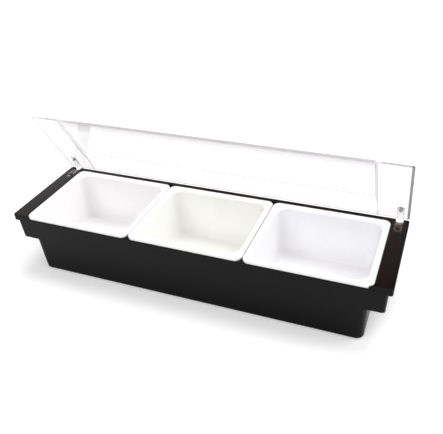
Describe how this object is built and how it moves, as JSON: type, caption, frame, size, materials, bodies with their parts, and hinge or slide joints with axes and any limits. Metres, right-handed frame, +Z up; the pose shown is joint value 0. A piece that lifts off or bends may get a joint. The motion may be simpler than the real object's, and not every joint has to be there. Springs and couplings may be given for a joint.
{
  "type": "condiment caddy",
  "caption": "Bar-top condiment caddy: long black housing with lift-out white trays hung side by side under one clear hinged lid that has a raised middle panel.",
  "frame": {"origin": "on the table, under the middle of the housing", "axes": "+X to the right along the length, -Y to the front where it is served from, +Z up"},
  "size_m": [0.5, 0.1489, 0.1991],
  "materials": {
    "housing_black": "black injection-moulded ABS, satin gloss",
    "tray_white": "white injection-moulded polypropylene",
    "lid_clear": "clear acrylic sheet, formed and polished",
    "hinge_clear": "clear moulded polycarbonate",
    "screw_steel": "dark passivated steel",
    "pin_steel": "stainless steel rod",
    "rivet_steel": "steel rivet"
  },
  "bodies": {
    "base_assembly": {"housing": "housing_black", "tray_left": "tray_white", "tray_middle": "tray_white", "tray_right": "tray_white", "hinge_bracket_left": "hinge_clear", "hinge_bracket_right": "hinge_clear", "bracket_screws": "screw_steel", "hinge_pin_left": "pin_steel", "hinge_pin_right": "pin_steel"},
    "lid_assembly": {"lid": "lid_clear", "hinge_arm_left": "hinge_clear", "hinge_arm_right": "hinge_clear", "arm_rivets": "rivet_steel"}
  },
  "joints": [
    {"name": "lid_hinge", "type": "hinge", "parent": "base_assembly", "child": "lid_assembly", "pos_m": [0, 0.066, 0.0813], "axis": [-1, 0, 0], "range_deg": [-59.3, 45.7]}
  ]
}
